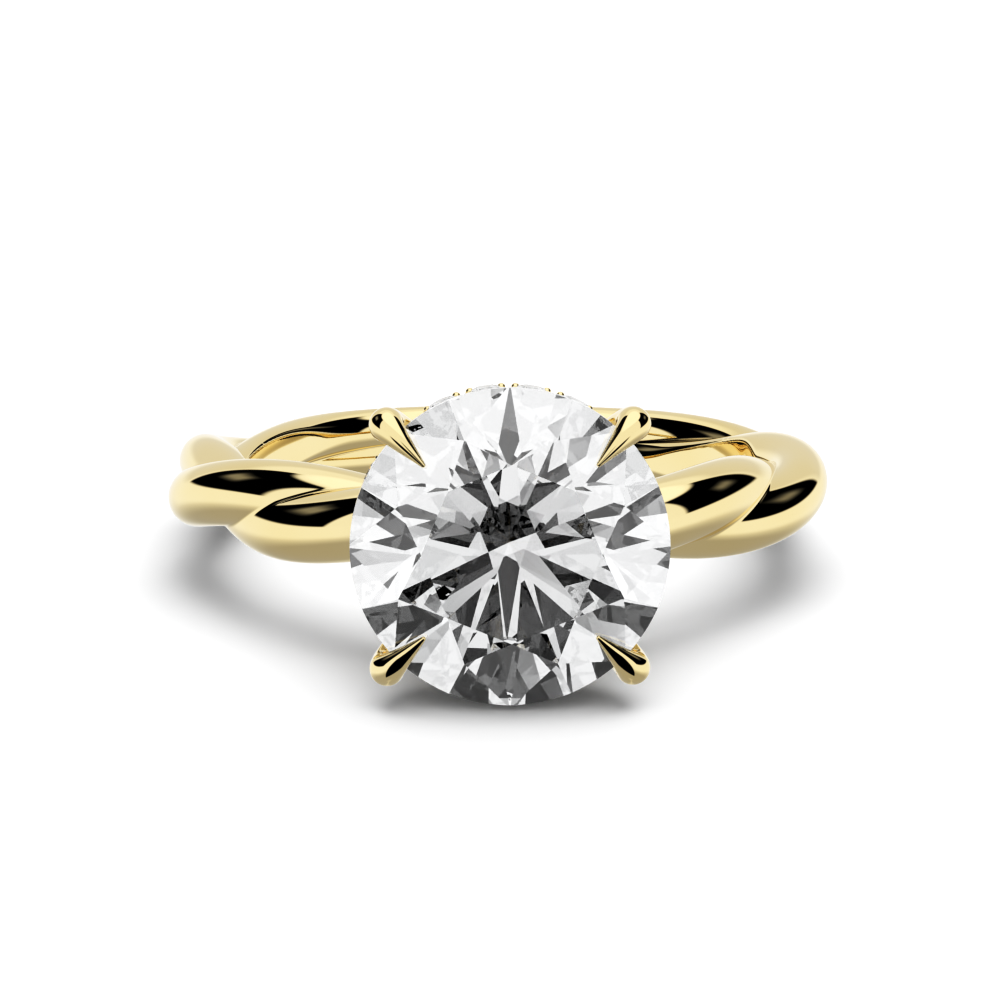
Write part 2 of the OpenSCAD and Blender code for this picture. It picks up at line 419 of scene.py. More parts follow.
def carved(piece: Piece, tool: Form, place: Matrix, shading: Shading) -> None:
    """Cuts a tool's form out of a piece.

    Args:
        piece: The piece, which gets the cut mesh.
        tool: What is cut away.
        place: Takes the tool's millimetres to the frame's metres.
        shading: How the faces of the cut piece meet.
    """
    cutter = bpy.data.objects.new("cutter", tool.mesh("cutter", place, Shading.FACETED))
    bpy.context.scene.collection.objects.link(cutter)
    cut = piece.modifiers.new("cut", "BOOLEAN")
    cut.object = cutter
    cut.operation = "DIFFERENCE"
    cut.solver = "EXACT"
    bpy.context.view_layer.update()
    done = piece.evaluated_get(bpy.context.evaluated_depsgraph_get())
    mesh = bpy.data.meshes.new_from_object(done)
    piece.modifiers.remove(cut)
    piece.data = mesh
    shade(mesh, shading)
    bpy.data.objects.remove(cutter)


def plain_material(name: str) -> tuple[bpy.types.Material, bpy.types.Node]:
    """Starts a material.

    Args:
        name: The finish's name.

    Returns:
        The material, and its shader as Blender first gives it.
    """
    made = bpy.data.materials.new(name)
    made.use_nodes = True
    return made, made.node_tree.nodes["Principled BSDF"]


def mottled(tree: Tree, length_mm: float, first: str, second: str) -> tuple[Socket, Socket]:
    """Works out a slow wave through a material, and a colour that follows it.

    Args:
        tree: The material's nodes.
        length_mm: Length of the waves.
        first: Colour where the wave is low.
        second: Colour where it is high.

    Returns:
        The wave, from 0 to 1, and the colour.
    """
    place = node(tree, "TexCoord").outputs["Object"]
    # Little detail, so that the wave stays slow
    slow = {"Scale": 1 / (length_mm * MM), "Detail": 1.0, "Roughness": 0.4}
    wave = node(tree, "TexNoise", values=slow, links={"Vector": place}).outputs["Fac"]
    ends = {MixIn.FIRST_COLOUR: linear(first), MixIn.SECOND_COLOUR: linear(second)}
    tint = node(tree, "Mix", {"data_type": "RGBA"}, ends, {MixIn.SHARE: wave})
    return wave, tint.outputs[MixOut.COLOUR]


@dataclass(frozen=True)
class PolishedGold:
    """14k yellow gold, cast, filed, and polished on a felt wheel to a mirror.

    It gives the eye a deep, warm reflection of the studio, white only at grazing angles. What
    the wheel leaves shows as a faint wave in the edges of the reflections.

    Attributes:
        name: The finish's name.
        body: Colour that a straight reflection is tinted with.
        rich: The same where the alloy is a shade deeper.
        thrown: Colour of the light that it throws on the table, which the picture leaves neutral.
        roughness_low: Roughness where the wheel ran last.
        roughness_high: Roughness in between.
        wave_mm: Length of the wheel's waves.
        wave_depth_mm: Their depth.
    """

    name: str = "polished_14k_yellow_gold"
    body: str = "#F8E9C0"
    rich: str = "#F4E1AE"
    thrown: str = "#DADADA"
    roughness_low: float = 0.02
    roughness_high: float = 0.04
    wave_mm: float = 2.5
    wave_depth_mm: float = 0.004

    def material(self) -> bpy.types.Material:
        """Makes the material.

        Returns:
            The material of every gold piece.
        """
        made, shader = plain_material(self.name)
        tree = made.node_tree
        wave, tint = mottled(tree, self.wave_mm, self.body, self.rich)
        on_table = node(tree, "LightPath").outputs["Is Diffuse Ray"]
        grey = {MixIn.SECOND_COLOUR: linear(self.thrown)}
        by_ray = {MixIn.SHARE: on_table, MixIn.FIRST_COLOUR: tint}
        colour = node(tree, "Mix", {"data_type": "RGBA"}, grey, by_ray)
        limits = {"To Min": self.roughness_low, "To Max": self.roughness_high}
        polish = node(tree, "MapRange", values=limits, links={"Value": wave})
        depth = {"Strength": 1.0, "Distance": self.wave_depth_mm * MM}
        relief = node(tree, "Bump", values=depth, links={"Height": wave})
        shader.inputs["Metallic"].default_value = 1.0
        tree.links.new(colour.outputs[MixOut.COLOUR], shader.inputs["Base Color"])
        tree.links.new(polish.outputs["Result"], shader.inputs["Roughness"])
        tree.links.new(relief.outputs["Normal"], shader.inputs["Normal"])
        return made


@dataclass(frozen=True)
class CutDiamond:
    """Brilliant-cut diamond, colourless, each facet polished flat on a lap.

    Its very high bending of light throws the studio back as hard-edged white, grey and black
    shards. The crystal is a trace less clear in places, which the eye takes for depth.

    Attributes:
        name: The finish's name.
        clear: Colour of the light that passes through clear crystal.
        veiled: The same where the crystal grew less clear.
        veil_mm: Length of the crystal's slow changes.
        ior: Index of refraction of diamond.
    """

    name: str = "brilliant_cut_diamond"
    clear: str = "#FFFFFF"
    veiled: str = "#FCFDFE"
    veil_mm: float = 3.0
    ior: float = 2.417

    def material(self) -> bpy.types.Material:
        """Makes the material.

        Returns:
            The material of the stones.
        """
        made, shader = plain_material(self.name)
        _, tint = mottled(made.node_tree, self.veil_mm, self.clear, self.veiled)
        made.node_tree.links.new(tint, shader.inputs["Base Color"])
        shader.inputs["Roughness"].default_value = 0.0
        shader.inputs["IOR"].default_value = self.ior
        shader.inputs["Transmission Weight"].default_value = 1.0
        return made


@dataclass(frozen=True)
class PaintedTable:
    """Matt white paint on the studio's table, laid on with a roller.

    It gives the eye nothing but the ring's soft shadow. The roller leaves the paint a trace
    thinner in places.

    Attributes:
        name: The finish's name.
        full: Colour of the paint where it is thick.
        thin: Colour where it is thin.
        roller_mm: Length of what the roller leaves.
    """

    name: str = "matt_white_paint"
    full: str = "#F5F5F5"
    thin: str = "#F3F3F3"
    roller_mm: float = 6.0

    def material(self) -> bpy.types.Material:
        """Makes the material.

        Returns:
            The material of the floor.
        """
        made, shader = plain_material(self.name)
        _, tint = mottled(made.node_tree, self.roller_mm, self.full, self.thin)
        made.node_tree.links.new(tint, shader.inputs["Base Color"])
        shader.inputs["Roughness"].default_value = 1.0
        shader.inputs["Specular IOR Level"].default_value = 0.0
        return made


@dataclass(frozen=True)
class Finishes:
    """The materials that the pieces share, and the record's slots.

    Attributes:
        gold: Material of every gold piece.
        diamond: Material of every stone.
        gold_slot: Slot of the gold. Not used.
        center_slot: Slot of the centre stone. Not used.
        halo_slot: Slot of the halo stones. Not used.
    """

    gold: bpy.types.Material
    diamond: bpy.types.Material
    gold_slot: str = "gold"
    center_slot: str = "center_diamond"
    halo_slot: str = "halo_diamond"


def placed(
    name: str,
    mesh: bpy.types.Mesh,
    material: bpy.types.Material,
    stands_for: str,
) -> Piece:
    """Puts a finished mesh in the scene as a piece of the ring.

    Args:
        name: The piece's name.
        mesh: Its mesh, in the frame's metres.
        material: Its finish.
        stands_for: The CAD node that it stands for.

    Returns:
        The piece.
    """
    piece = bpy.data.objects.new(name, mesh)
    bpy.context.scene.collection.objects.link(piece)
    mesh.materials.clear()
    mesh.materials.append(material)
    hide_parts(stands_for)
    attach(piece, BODY)
    return piece


def gilt(name: str, mesh: bpy.types.Mesh, finishes: Finishes) -> Piece:
    """Puts a finished gold mesh in the scene.

    Args:
        name: The piece's name.
        mesh: Its mesh, in the frame's metres.
        finishes: The shared materials.

    Returns:
        The piece.
    """
    piece = placed(name, mesh, finishes.gold, MOUNT_NODE)
    # The stones show the studio alone, as in a picture developed so that no gold tints them
    piece.visible_transmission = False
    return piece


@dataclass(frozen=True)
class Shank:
    """Two strands wound round each other all round the finger, bored to one smooth cylinder.

    Attributes:
        bore_r: Radius of the finger bore.
        line_gap: Distance from the bore out to the line that the strands wind round.
        strand_d_front: Strand thickness at the head.
        strand_d_back: Strand thickness at the back.
        swing_radial: How far each strand swings in and out.
        swing_axial: How far each strand swings up and down.
        turns: Whole turns of the strands round each other.
        waves_deg: What the twist gains on an even one, in one wave a trip, in two and in three.
        back_deg: Turn of the first strand at the back.
        crease_blend: Softness of the groove between the strands.
        edge_blend: Softness of the edges of the bore.
        steps: Sections round the finger.
        sides: Points across one strand.
        crowding: How much closer than evenly the points stand at the groove, as a share.
    """

    bore_r: float = 8.65
    line_gap: float = 0.97
    strand_d_front: float = 2.46
    strand_d_back: float = 1.42
    swing_radial: float = 0.57
    swing_axial: float = 0.47
    turns: int = 3
    waves_deg: tuple[float, ...] = (84, 34, 8)
    back_deg: float = -90
    crease_blend: float = 0.08
    edge_blend: float = 0.1
    steps: int = 640
    sides: int = 72
    crowding: float = 2 / 3

    @property
    def line_r(self) -> float:
        """Radius of the line that the strands wind round."""
        return self.bore_r + self.line_gap

    def twist(self, a: np.ndarray) -> np.ndarray:
        """Works out the twist, which is quick at the head and nearly stops at the back.

        Args:
            a: Angles round the finger from the head, in radians.

        Returns:
            Turn of the first strand at each angle, in radians.
        """
        past_back = a - math.pi
        turn = math.radians(self.back_deg) - self.turns * past_back
        for waves, gain in enumerate(self.waves_deg, 1):
            turn = turn + math.radians(gain) * np.sin(waves * past_back)
        return turn

    def form(self) -> Form:
        """Works out the whole band as sections of points round the finger.

        Each section is measured outward from the line that the strands wind round. The longer
        of the two strands' reaches is the outline, and the bore limits it.

        Returns:
            The closed band.
        """
        a = np.linspace(0, 2 * math.pi, self.steps, endpoint=False)[:, None]
        turn = self.twist(a)
        out, up = self.swing_radial * np.cos(turn), self.swing_axial * np.sin(turn)
        apart, lean = np.hypot(out, up), np.arctan2(up, out)
        strand_r = (self.strand_d_front + self.strand_d_back) / 4
        strand_r = strand_r + (self.strand_d_front - self.strand_d_back) / 4 * np.cos(a)
        share = np.arange(self.sides) / self.sides
        off = (share - self.crowding * np.sin(4 * math.pi * share) / (4 * math.pi) - 0.5) * math.pi
        sections = []
        for strand in (0, math.pi):
            angle = lean + strand + off
            along, beside = apart * np.cos(off), apart * np.sin(off)
            near = along + np.sqrt(strand_r**2 - beside**2)
            far = -along + np.sqrt(strand_r**2 - beside**2)
            reach = -soft_least(-near, -far, self.crease_blend)
            # The bore is out of reach where a point is measured away from the finger
            inward = np.maximum(-np.cos(angle), NOTHING)
            reach = soft_least(reach, self.line_gap / inward, self.edge_blend)
            r = self.line_r + reach * np.cos(angle)
            section = [-r * np.sin(a), -r * np.cos(a), reach * np.sin(angle)]
            sections.append(np.stack(section, axis=-1))
        points = np.concatenate(sections, axis=1)
        return Form(points.reshape(-1, 3), skin(self.steps, 2 * self.sides, True))

    def build(self, place: RestingPlace, finishes: Finishes) -> Piece:
        """Makes the shank.

        Args:
            place: Where the ring lies.
            finishes: The shared materials.

        Returns:
            The piece.
        """
        mesh = self.form().mesh("shank", place.ring, Shading.FLOWING)
        return gilt("shank", mesh, finishes)


@dataclass(frozen=True)
class Brilliant:
    """A round brilliant: table, 8 mains, 8 stars, 32 halves and 8 pavilion mains.

    Attributes:
        girdle_d: Diameter of the girdle.
        table_d: Width of the table across its corners.
        crown_h: Height of the crown.
        girdle_h: Thickness of the girdle.
        pavilion_h: Depth of the pavilion.
        girdle_facets: Small upright facets that the girdle is polished to.
        mains: Main facets of the crown, and of the pavilion.
        star_reach: How far the stars reach from the table to the girdle.
        lower_reach: How far the lower halves reach from the girdle to the culet.
        overrun: Facets run out to this many girdle radii before the girdle cuts them.
        weld: Points nearer than this share of the girdle's diameter are one.
    """

    girdle_d: float
    table_d: float
    crown_h: float
    girdle_h: float
    pavilion_h: float
    girdle_facets: int
    mains: int = 8
    star_reach: float = 0.5
    lower_reach: float = 0.8
    overrun: float = 1.024
    weld: float = 1e-5

    def trios(self) -> list[list[np.ndarray]]:
        """Works out three points of every facet but those of the girdle.

        Returns:
            Three points in millimetres for each facet.
        """
        r, table_r, half = self.girdle_d / 2, self.table_d / 2, self.girdle_h / 2
        part = math.pi / self.mains
        crown, pavilion = self.crown_h / (r - table_r), self.pavilion_h / r
        flat = table_r * math.cos(part)
        star_r = flat + (r - flat) * self.star_reach
        star_z = half + self.crown_h - (star_r * math.cos(part) - table_r) * crown
        lower_r = r * (1 - self.lower_reach)
        lower_z = -half - self.pavilion_h + lower_r * math.cos(part) * pavilion
        wide = r * self.overrun
        upper_z, under_z = half - (wide - r) * crown, -half + (wide - r) * pavilion

        def at(radius: float, mains: float, z: float) -> np.ndarray:
            """Gives a point at a distance, a number of mains round, and a height."""
            turn = 2 * part * mains
            return np.array([radius * math.cos(turn), radius * math.sin(turn), z])

        culet = at(0, 0, -half - self.pavilion_h)
        made = [[at(table_r, i, half + self.crown_h) for i in range(3)]]
        for i in range(self.mains):
            corner, star = at(table_r, i, half + self.crown_h), at(star_r, i + 0.5, star_z)
            lower = at(lower_r, i + 0.5, lower_z)
            top = [at(wide, i + k, upper_z) for k in (0, 0.5, 1)]
            foot = [at(wide, i + k, under_z) for k in (0, 0.5, 1)]
            made += [
                [corner, star, at(table_r, i + 1, half + self.crown_h)],
                [corner, star, top[0]],
                [star, top[0], top[1]],
                [star, top[1], top[2]],
                [lower, foot[0], foot[1]],
                [lower, foot[1], foot[2]],
                [lower, foot[0], culet],
            ]
        return made

    def planes(self) -> np.ndarray:
        """Works out the plane of every facet.

        Returns:
            Rows of an outward direction and its distance from the girdle's middle.
        """
        rows = []
        for p, q, s in self.trios():
            out = np.cross(q - p, s - p)
            out /= np.linalg.norm(out)
            away = out @ p
            rows.append([*out, away] if away > 0 else [*-out, -away])
        upright = self.girdle_d / 2 * math.cos(math.pi / self.girdle_facets)
        for k in range(self.girdle_facets):
            turn = 2 * math.pi * (k + 0.5) / self.girdle_facets
            rows.append([math.cos(turn), math.sin(turn), 0, upright])
        return np.array(rows)

    def facet(self, number: int, planes: np.ndarray) -> list[np.ndarray]:
        """Cuts one facet from its plane by all the others.

        Args:
            number: The facet's row.
            planes: The planes of all the facets.

        Returns:
            The facet's corners, or nothing where the others leave none of it.
        """
        *out, away = planes[number]
        normal = np.array(out)
        # An axis well off the normal gives a direction within the plane
        side = np.cross(normal, [1.0, 0, 0] if abs(normal[0]) < OFF_X else [0, 1.0, 0])
        side *= 2 * self.girdle_d / np.linalg.norm(side)
        other = np.cross(normal, side)
        corners = [normal * away + side * u + other * v for u, v in SQUARE]
        for j, (*cut, limit) in enumerate(planes):
            if j != number and corners:
                corners = clipped(corners, np.array(cut), limit)
        return corners

    def form(self) -> Form:
        """Cuts every facet, and joins the facets at their corners.

        Returns:
            The stone, with its table up and its girdle centred on the origin.
        """
        planes = self.planes()
        points: list[np.ndarray] = []
        faces: list[tuple[int, ...]] = []
        weld = self.girdle_d * self.weld
        for i in range(len(planes)):
            face: list[int] = []
            for p in self.facet(i, planes):
                known = next((k for k, q in enumerate(points) if np.abs(p - q).max() < weld), None)
                if known is None:
                    known = len(points)
                    points.append(p)
                if known not in face:
                    face.append(known)
            if len(face) > 2:
                faces.append(tuple(face))
        return Form(np.array(points), faces)


@dataclass(frozen=True)
class Head:
    """The setting: base cup, four pointed claws, and the gallery rail with its halo.

    Heights are measured along the head's axis from the centre of the finger bore.

    Attributes:
        band_line_r: Radius of the line that the band's strands wind round.
        stone: The centre stone.
        small: A halo stone.
        culet_at: Height of the centre stone's culet.
        seat_gap: Gap between the metal and a stone.
        claw_count: How many claws there are.
        claw_d: Thickness of a claw.
        claw_bite: Depth of the notch for the stone's edge.
        claw_reach: How far a point reaches in from the stone's edge.
        claw_rise: Height above the girdle of a claw's shoulder.
        claw_point: Thickness of a point at its end, as a share of the claw's.
        claw_taper: How late a point narrows, where 1 is evenly.
        point_sink: Height of a point's end above the stone's seat, as a share of its radius.
        dome_deg: Angles up the small dome that closes a point, one for each section.
        stem_gap: Clear space between a stem and the stone's underside.
        stem_root: Where a stem starts, as a share of the radius of the base cup's foot.
        stem_straight: Share of a stem that is straight, before it bends up at the stone's edge.
        base_rise: Height of the base cup above the culet.
        base_wall: Wall of the base cup at its rim.
        base_foot_d: Diameter of the base cup's foot.
        halo_spacing: Metal between two halo stones.
        halo_drop: Distance of the halo behind the girdle.
        halo_inset: How far the halo stays inside the stone's edge.
        halo_per_side: Halo stones between two claws.
        rail_h: Height of the gallery rail.
        bead_d: Diameter of a bead.
        bead_cover: How much of a bead's width lies over the stone's edge.
        edge_round: Rounding left by the polish on the rail.
        stem_steps: Sections of a stem's straight length.
        claw_steps: Sections of each of a claw's two bends.
        claw_sides: Points round a claw.
        turned_sides: Points round the base cup and the centre stone's seat.
        rail_sides: Points round the gallery rail.
        small_sides: Points round a halo stone's seat.
    """

    band_line_r: float
    stone: Brilliant = Brilliant(
        girdle_d=10, table_d=5.6, crown_h=1.5, girdle_h=0.3, pavilion_h=4.3, girdle_facets=96
    )
    small: Brilliant = Brilliant(
        girdle_d=1.2, table_d=0.68, crown_h=0.17, girdle_h=0.05, pavilion_h=0.5, girdle_facets=32
    )
    culet_at: float = 9.75
    seat_gap: float = 0.05
    claw_count: int = 4
    claw_d: float = 1.1
    claw_bite: float = 0.12
    claw_reach: float = 1.15
    claw_rise: float = 0.3
    claw_point: float = 0.14
    claw_taper: float = 1.7
    point_sink: float = 0.5
    dome_deg: tuple[float, ...] = (30, 60, 85)
    stem_gap: float = 0.16
    stem_root: float = 0.6
    stem_straight: float = 0.8
    base_rise: float = 1.5
    base_wall: float = 0.6
    base_foot_d: float = 3.0
    halo_spacing: float = 0.22
    halo_drop: float = 1.25
    halo_inset: float = 0.08
    halo_per_side: int = 4
    rail_h: float = 1.44
    bead_d: float = 0.28
    bead_cover: float = 0.25
    edge_round: float = 0.05
    stem_steps: int = 8
    claw_steps: int = 40
    claw_sides: int = 48
    turned_sides: int = 192
    rail_sides: int = 384
    small_sides: int = 48

    @property
    def stone_r(self) -> float:
        """Radius of the centre stone's girdle."""
        return self.stone.girdle_d / 2

    @property
    def girdle_at(self) -> float:
        """Height of the middle of the centre stone's girdle."""
        return self.culet_at + self.stone.pavilion_h + self.stone.girdle_h / 2

    @property
    def halo_at(self) -> float:
        """Height of the halo's middle."""
        return self.girdle_at - self.halo_drop

    @property
    def rail_r(self) -> float:
        """Outer radius of the gallery rail."""
        return self.stone_r - self.halo_inset - self.small.crown_h

    @property
    def halo_girdle_r(self) -> float:
        """Distance from the head's axis out to the middle of a halo stone's girdle."""
        return self.rail_r - self.small.girdle_h / 2

    @property
    def pavilion_slope(self) -> float:
        """Rise of the pavilion for each millimetre outward."""
        return self.stone.pavilion_h / self.stone_r

    @property
    def crown_slope(self) -> float:
        """Fall of the crown for each millimetre outward."""
        return self.stone.crown_h / (self.stone_r - self.stone.table_d / 2)

    def claw(self) -> Form:
        """Sweeps one claw from the base cup up the side of the stone and over its edge.

        Returns:
            The claw, over the +X axis.
        """
        thick = self.claw_d / 2

        def beside(r: float) -> Vector:
            """Gives the point of a stem's line at a distance from the axis."""
            below = (thick + self.stem_gap) * slant(self.pavilion_slope)
            return Vector((r, self.culet_at + r * self.pavilion_slope - below))

        stem_r = self.stone_r + thick - self.claw_bite
        foot, knee = beside(self.base_foot_d / 2 * self.stem_root), beside(stem_r)
        start = foot + (knee - foot) * self.stem_straight
        side = Vector((stem_r, self.girdle_at))
        crown_from = self.girdle_at + self.stone.girdle_h / 2
        shoulder = Vector((stem_r, crown_from + self.claw_rise))
        over = self.claw_reach * self.crown_slope + self.seat_gap * slant(self.crown_slope)
        over += self.point_sink * self.claw_point * thick
        tip = Vector((self.stone_r - self.claw_reach, crown_from + over))
        steps = self.claw_steps
        line = [foot.lerp(start, k / self.stem_steps) for k in range(self.stem_steps)]
        line += [bend(start, knee, side, k / steps) for k in range(steps)]
        even = np.ones(len(line))
        line += [bend(side, shoulder, tip, k / steps) for k in range(steps + 1)]
        narrowing = 1 - (1 - self.claw_point) * np.linspace(0, 1, steps + 1) ** self.claw_taper
        radius = np.concatenate([even, narrowing]) * thick
        return swept(np.array(line), radius, self.dome_deg, self.claw_sides)

    def claws(self) -> Form:
        """Sets the claws round the stone, each midway between two sides of the halo.

        Returns:
            All of them.
        """
        one, pitch = self.claw(), 2 * math.pi / self.claw_count
        turns = [Matrix.Rotation((k + 0.5) * pitch, 4, "Z") for k in range(self.claw_count)]
        return Form.joined(one.moved(turn) for turn in turns)

    def seat(self) -> Form:
        """Makes the room for the centre stone, cut from all that holds it.

        Returns:
            The room, closed.
        """
        top, edge = self.stone.girdle_h / 2, self.stone_r + self.seat_gap
        lift = self.seat_gap * slant(self.crown_slope)
        low = self.seat_gap * slant(self.pavilion_slope)
        ceiling = top + self.stone.crown_h + lift
        outline = [
            (NEAR_AXIS, -top - self.stone.pavilion_h - low),
            (edge, -top - low + self.seat_gap * self.pavilion_slope),
            (edge, top + lift - self.seat_gap * self.crown_slope),
            (self.stone.table_d / 2, ceiling),
            (NEAR_AXIS, ceiling),
        ]
        return turned([(r, self.girdle_at + z) for r, z in outline], self.turned_sides)

    def cup(self) -> Form:
        """Turns the cup under the culet, which joins the claws to the band.

        Returns:
            The cup, before the stone's seat is cut from it.
        """
        foot, top = self.band_line_r, self.culet_at + self.base_rise
        rim = self.base_rise / self.pavilion_slope + self.seat_gap + self.base_wall
        outline = [(NEAR_AXIS, foot), (self.base_foot_d / 2, foot), (rim, top), (NEAR_AXIS, top)]
        return turned(outline, self.turned_sides)

    def rail(self) -> Form:
        """Turns the gallery rail.

        Returns:
            The rail, before the halo's seats are cut from it.
        """
        bottom, top = self.halo_at - self.rail_h / 2, self.halo_at + self.rail_h / 2
        lift = self.seat_gap * slant(self.pavilion_slope)
        inner = [(z - self.culet_at + lift) / self.pavilion_slope for z in (bottom, top)]
        outline = [(inner[0], bottom), (self.rail_r, bottom), (self.rail_r, top), (inner[1], top)]
        return turned(rounded(outline, self.edge_round), self.rail_sides)

    def halo_angles(self) -> list[float]:
        """Lists where the halo stones stand.

        Returns:
            Angles round the head in radians, in the order of the stones' names.
        """
        pitch = self.small.girdle_d + self.halo_spacing
        step = 2 * math.asin(pitch / 2 / self.halo_girdle_r)
        middle = (self.halo_per_side - 1) / 2
        sides = [2 * math.pi * k / self.claw_count for k in range(self.claw_count)]
        return [side + (i - middle) * step for side in sides for i in range(self.halo_per_side)]

    def on_rail(self, angle: float) -> Matrix:
        """Takes a form built at the origin to a place on the rail, facing outward.

        Args:
            angle: Angle round the head, in radians.

        Returns:
            The move, in millimetres.
        """
        out = Matrix.Translation((self.halo_girdle_r, 0, 0))
        lift = Matrix.Translation((0, 0, self.halo_at))
        return lift @ Matrix.Rotation(angle, 4, "Z") @ out @ Matrix.Rotation(math.pi / 2, 4, "Y")

    def small_seat(self) -> Form:
        """Makes the room for one halo stone, open outward.

        Returns:
            The room, closed, with the stone's table up.
        """
        r, half, gap = self.small.girdle_d / 2, self.small.girdle_h / 2, self.seat_gap
        slope = self.small.pavilion_h / r
        outline = [
            (NEAR_AXIS, -half - self.small.pavilion_h - gap * slant(slope)),
            (r + gap, -half - gap * (slant(slope) - slope)),
            (r + gap, half + self.small.crown_h + gap),
            (NEAR_AXIS, half + self.small.crown_h + gap),
        ]
        return turned(outline, self.small_sides)

    def beads(self) -> Form:
        """Raises a bead at each corner of each halo stone.

        Returns:
            All the beads.
        """
        work = bmesh.new()
        bmesh.ops.create_icosphere(work, subdivisions=3, radius=self.bead_d / 2)
        points = np.array([v.co[:] for v in work.verts])
        ball = Form(points, [tuple(v.index for v in f.verts) for f in work.faces])
        work.free()
        from_middle = (self.small.girdle_d + self.bead_d * (1 - self.bead_cover)) / 2
        off, up = from_middle * math.cos(math.pi / 4), self.small.girdle_h / 2
        corners = [Matrix.Translation((x * off, y * off, up)) for x in (-1, 1) for y in (-1, 1)]
        stones = [self.on_rail(angle) for angle in self.halo_angles()]
        return Form.joined(ball.moved(stone @ corner) for stone in stones for corner in corners)

    def build_metal(self, place: RestingPlace, finishes: Finishes) -> list[Piece]:
        """Makes the gold of the head.

        Args:
            place: Where the ring lies.
            finishes: The shared materials.

        Returns:
            Claws, base cup, gallery rail and beads.
        """
        seats = Form.joined(self.small_seat().moved(self.on_rail(a)) for a in self.halo_angles())
        made = []
        for name, form, tool, shading in (
            ("claws", self.claws(), self.seat(), Shading.CREASED),
            ("base_cup", self.cup(), self.seat(), Shading.CREASED),
            ("gallery_rail", self.rail(), seats, Shading.CREASED),
            ("halo_beads", self.beads(), None, Shading.FLOWING),
        ):
            piece = gilt(name, form.mesh(name, place.head, shading), finishes)
            if tool is not None:
                carved(piece, tool, place.head, shading)
            made.append(piece)
        return made

    def build_stones(self, place: RestingPlace, finishes: Finishes) -> list[Piece]:
        """Makes the centre stone and the halo.

        Args:
            place: Where the ring lies.
            finishes: The shared materials.

        Returns:
            The stones, the centre one first.
        """
        centre = self.stone.form().moved(Matrix.Translation((0, 0, self.girdle_at)))
        mesh = centre.mesh("center_brilliant", place.head, Shading.FACETED)
        slot, stands_for = finishes.center_slot, "center_stone"
        made = [placed("center_brilliant", mesh, finishes.diamond, stands_for)]
        small = self.small.form()
        for i, angle in enumerate(self.halo_angles(), 1):
            name, stands_for = f"halo_brilliant_{i:02d}", f"halo_stone_{i:02d}"
            mesh = small.mesh(name, place.head @ self.on_rail(angle), Shading.FACETED)
            made.append(placed(name, mesh, finishes.diamond, stands_for))
        return made


@dataclass(frozen=True)
class Camera:
    """The studio's long lens, a little above the plane of the band and to its left.

    Attributes:
        above_band_deg: Angle above the plane of the band.
        azimuth_deg: Angle round the ring, where 0 looks straight at the head.
        distance_mm: Distance to the centre of the finger bore.
        scale_px: Pixels for each millimetre at that distance.
        bore_px: Where the centre of the bore falls in the image.
        image_px: Width and height of the image.
        sensor_mm: Width of the sensor.
        clip_m: Nearest and farthest that it sees, in metres.
    """

    above_band_deg: float = 8.5
    azimuth_deg: float = -1.7
    distance_mm: float = 200
    scale_px: float = 29.85
    bore_px: Point = (496.5, 479.2)
    image_px: float = 1000
    sensor_mm: float = 36
    clip_m: tuple[float, float] = (0.01, 20)

    def build(self, place: RestingPlace) -> None:
        """Makes the camera and gives it to the scene.

        Args:
            place: Where the ring lies.
        """
        a, e = math.radians(self.azimuth_deg), math.radians(self.above_band_deg)
        back = Vector((math.sin(a) * math.cos(e), -math.cos(a) * math.cos(e), math.sin(e)))
        turn = place.ring.to_3x3().normalized()
        back, above = turn @ back, turn @ Vector((0, 0, 1))
        right = above.cross(back).normalized()
        data = bpy.data.cameras.new("camera")
        data.sensor_width = self.sensor_mm
        data.lens = self.scale_px * self.distance_mm / self.image_px * self.sensor_mm
        data.shift_x = 0.5 - self.bore_px[0] / self.image_px
        data.shift_y = self.bore_px[1] / self.image_px - 0.5
        data.clip_start, data.clip_end = self.clip_m
        made = bpy.data.objects.new("camera", data)
        bpy.context.scene.collection.objects.link(made)
        rotation = Matrix((right, back.cross(right), back)).transposed().to_4x4()
        away = back * self.distance_mm * MM
        made.matrix_world = Matrix.Translation(place.centre + away) @ rotation
        bpy.context.scene.camera = made


